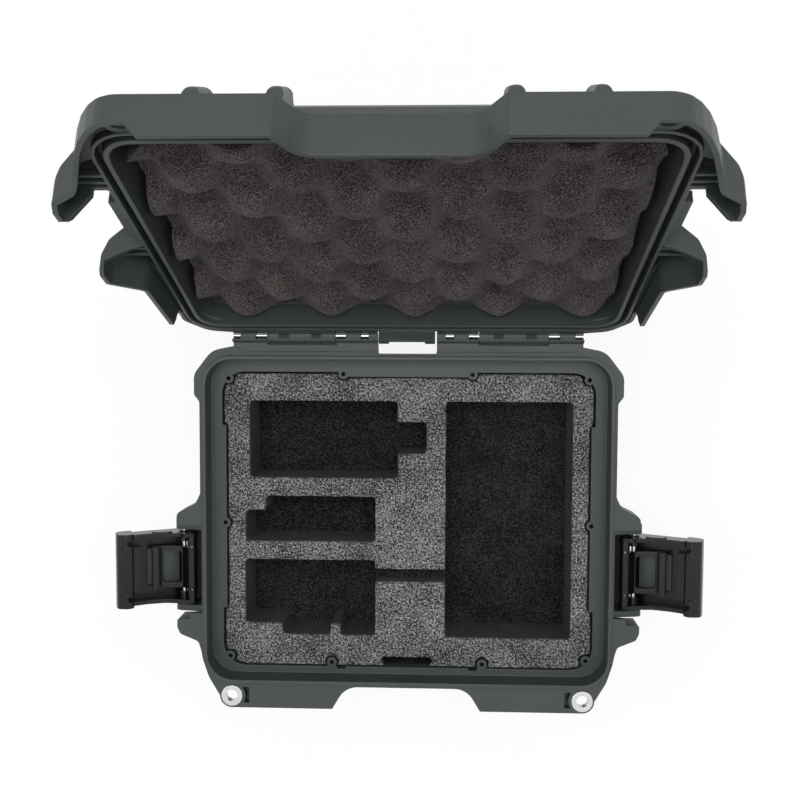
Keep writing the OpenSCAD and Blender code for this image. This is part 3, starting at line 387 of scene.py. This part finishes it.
def cord_sweep(name, finish):
    """Round cord along a closed rounded rectangle lying level, as a node tree."""
    tree = bpy.data.node_groups.new(name, "GeometryNodeTree")
    for label, kind, value in (("Half width", "NodeSocketFloat", 0.1), ("Half depth", "NodeSocketFloat", 0.1),
                               ("Corner", "NodeSocketFloat", 0.02), ("Level", "NodeSocketFloat", 0.0),
                               ("Across", "NodeSocketFloat", 0.003), ("Tall", "NodeSocketFloat", 0.003)):
        socket = tree.interface.new_socket(label, in_out="INPUT", socket_type=kind)
        socket.default_value = value
    tree.interface.new_socket("Geometry", in_out="OUTPUT", socket_type="NodeSocketGeometry")
    new = tree.nodes.new
    given = new("NodeGroupInput")
    path = new("GeometryNodeCurvePrimitiveQuadrilateral")
    double_w, double_d = new("ShaderNodeMath"), new("ShaderNodeMath")
    for node, label in ((double_w, "Half width"), (double_d, "Half depth")):
        node.operation = "MULTIPLY"
        node.inputs[1].default_value = 2.0
        tree.links.new(given.outputs[label], node.inputs[0])
    tree.links.new(double_w.outputs[0], path.inputs["Width"])
    tree.links.new(double_d.outputs[0], path.inputs["Height"])
    corners = new("GeometryNodeFilletCurve")
    corners.mode = "POLY"
    corners.inputs["Count"].default_value = 14
    tree.links.new(path.outputs[0], corners.inputs["Curve"])
    tree.links.new(given.outputs["Corner"], corners.inputs["Radius"])
    lift = new("GeometryNodeTransform")
    rise = new("ShaderNodeCombineXYZ")
    tree.links.new(given.outputs["Level"], rise.inputs["Z"])
    tree.links.new(corners.outputs[0], lift.inputs["Geometry"])
    tree.links.new(rise.outputs[0], lift.inputs["Translation"])
    round_profile = new("GeometryNodeCurvePrimitiveCircle")
    round_profile.inputs["Resolution"].default_value = 14
    round_profile.inputs["Radius"].default_value = 0.5
    flatten = new("GeometryNodeTransform")
    size = new("ShaderNodeCombineXYZ")
    size.inputs["Z"].default_value = 1.0
    tree.links.new(given.outputs["Across"], size.inputs["X"])
    tree.links.new(given.outputs["Tall"], size.inputs["Y"])
    tree.links.new(round_profile.outputs[0], flatten.inputs["Geometry"])
    tree.links.new(size.outputs[0], flatten.inputs["Scale"])
    sweep = new("GeometryNodeCurveToMesh")
    tree.links.new(lift.outputs[0], sweep.inputs["Curve"])
    tree.links.new(flatten.outputs[0], sweep.inputs["Profile Curve"])
    smooth = new("GeometryNodeSetShadeSmooth")
    real = new("GeometryNodeRealizeInstances")
    paint = new("GeometryNodeSetMaterial")
    paint.inputs["Material"].default_value = finish
    last = new("NodeGroupOutput")
    for a, b in ((sweep, smooth), (smooth, real), (real, paint), (paint, last)):
        tree.links.new(a.outputs[0], b.inputs[0])
    return tree


def grown(name, tree, values, turn=None):
    """A plain mesh from a node tree with these inputs, turned into its place."""
    work = bpy.data.objects.new(name + "_work", bpy.data.meshes.new(name + "_work"))
    bpy.context.scene.collection.objects.link(work)
    maker = work.modifiers.new("maker", "NODES")
    maker.node_group = tree
    for item in tree.interface.items_tree:
        if item.in_out == "INPUT" and item.name in values:
            maker[item.identifier] = values[item.name]
    bpy.context.view_layer.update()
    mesh = bpy.data.meshes.new_from_object(work.evaluated_get(bpy.context.evaluated_depsgraph_get()))
    bpy.data.objects.remove(work)
    if turn:
        mesh.transform(turn)
    return mesh


seal_mesh = grown("seal_cord", cord_sweep("seal_sweep", seal_rubber), {
    "Half width": 0.13275, "Half depth": 0.10735, "Corner": 0.01825, "Level": 0.1096,
    "Across": 0.0034, "Tall": 0.0024}, lid_turn)
add_piece("seal_cord", seal_mesh, "lid", seal_rubber, ["lid_gasket"])

# ---------------------------------------------------------------- lid foam
# One sheet of convoluted polyester foam, dark brown-grey, cut straight at its
# edges and glued into the dome: rows of peaks and hollows 26 mm and 25.5 mm apart.
foam_brown = foam_finish("brown_grey_foam", (0.006, 0.0045, 0.0045), (0.034, 0.028, 0.027), (0.16, 0.14, 0.135),
    pore=0.0008, glint_share=1.0, depth=0.0005)
bump_x, bump_y = 0.026, 0.0255
bump_shift_x, bump_shift_y = 0.005, 0.010
bump_flatness = 0.85


def bumped_sheet(x, front, back, corner, swing, middle, bulge, side_rear, rear_rings, cell):
    """The sheet lying in the shut lid: bumped face down, straight sides, back drawn in by rings."""
    columns = int(round(2 * x / cell))
    rows = int(round((front + back) / cell))

    def rounded(px, py):
        """The square corners of the grid drawn in to round ones."""
        cx = math.copysign(x - corner, px)
        cy = back - corner if py > 0 else corner - front
        u, v = (px - cx) * math.copysign(1, px), (py - cy) * (1 if py > 0 else -1)
        if u <= 0 or v <= 0:
            return px, py
        shrink = max(u, v) / math.hypot(u, v)
        return cx + (px - cx) * shrink, cy + (py - cy) * shrink

    def face_point(i, j):
        px, py = rounded(-x + 2 * x * i / columns, -front + (front + back) * j / rows)
        wave = (math.cos(math.pi * (px - bump_shift_x) / bump_x)
                * math.cos(math.pi * (py + bump_shift_y) / bump_y))
        wave = math.copysign(abs(wave) ** bump_flatness, wave)
        share = (1 - (px / x) ** 4) * (1 - (py / back) ** 4)
        droop = 0.0016 * noise.noise(Vector((px, py, 0)) / 0.045) - bulge * share
        return Vector((px, py, middle + droop - swing * wave))

    points = [face_point(i, j) for j in range(rows + 1) for i in range(columns + 1)]

    def at(i, j):
        return j * (columns + 1) + i

    faces = [(at(i, j), at(i, j + 1), at(i + 1, j + 1), at(i + 1, j))
             for j in range(rows) for i in range(columns)]
    rim = ([at(i, 0) for i in range(columns)] + [at(columns, j) for j in range(rows)]
           + [at(i, rows) for i in range(columns, 0, -1)] + [at(0, j) for j in range(rows, 0, -1)])
    ring = rim
    steps = 6
    for k in range(1, steps + len(rear_rings) + 1):
        made = []
        for n in rim:
            p = points[n]
            if k <= steps:
                made.append(Vector((p.x, p.y, p.z + (side_rear - p.z) * k / steps)))
            else:
                level, ring_x, ring_front, ring_back = rear_rings[k - steps - 1]
                scale_y = ring_back / back if p.y > 0 else ring_front / front
                made.append(Vector((p.x * ring_x / x, p.y * scale_y, level)))
        start = len(points)
        points += made
        fresh = list(range(start, start + len(made)))
        count = len(ring)
        faces += [(ring[n], ring[(n + 1) % count], fresh[(n + 1) % count], fresh[n]) for n in range(count)]
        ring = fresh
    faces.append(tuple(reversed(ring)))
    mesh = bpy.data.meshes.new("lid_foam_sheet")
    mesh.from_pydata(points, [], faces)
    work = bmesh.new()
    work.from_mesh(mesh)
    bmesh.ops.recalc_face_normals(work, faces=work.faces)
    work.to_mesh(mesh)
    work.free()
    return mesh


sheet_mesh = bumped_sheet(x=0.1246, front=0.0916, back=0.1011, corner=0.016, swing=0.0082, middle=0.1155,
    bulge=0.0022, side_rear=0.1205, rear_rings=((0.131, 0.1215, 0.0765, 0.0975), (0.139, 0.112, 0.065, 0.090)),
    cell=0.0015)
torn(sheet_mesh, wave=0.009, waviness=0.0006, grain=0.0022, graininess=0.0005, sunk=0.0004)
sheet_mesh.transform(lid_turn)
for face in sheet_mesh.polygons:
    face.use_smooth = True
lid_foam_piece = add_piece("lid_foam_sheet", sheet_mesh, "lid", foam_brown, ["lid_foam"])

# ---------------------------------------------------------------- carry handle
# A folding handle of black nylon between the lid's inner ribs, on two steel pins,
# with a sleeve of soft rubber over its bar.
grip_rubber = soft_rubber("grip_rubber", (0.014, 0.014, 0.015), roughness=0.7, grain=0.0006)
for side in ("left", "right"):
    skin("handle_rod_" + side, "handle_pin_" + side, "lid", stainless, bevel=0.0002)
skin("handle_bow", "carry_handle", "handle", black_nylon, bevel=0.0012)
skin("handle_sleeve", "handle_grip", "handle", grip_rubber, bevel=0.0012)

# ---------------------------------------------------------------- side latches
# Each latch is a black nylon lever on a steel pin, a claw that hooks the lid's
# catch on a second pin, and an olive slide lock in the lever's floor.
lock_plastic = moulded_plastic("dark_olive_acetal", (0.046, 0.056, 0.050), (0.11, 0.125, 0.115),
    roughness=0.45, pit=0.0005, radius=0.0004)
for side in ("left", "right"):
    skin("lever_" + side, "latch_lever_" + side, "lever_" + side, black_nylon, bevel=0.0004)
    skin("claw_rod_" + side, "claw_pin_" + side, "lever_" + side, stainless, bevel=0.0002)
    skin("claw_" + side, "latch_claw_" + side, "claw_" + side, black_nylon, bevel=0.0004)
    skin("slide_lock_" + side, "latch_lock_" + side, "lock_" + side, lock_plastic, bevel=0.0003)
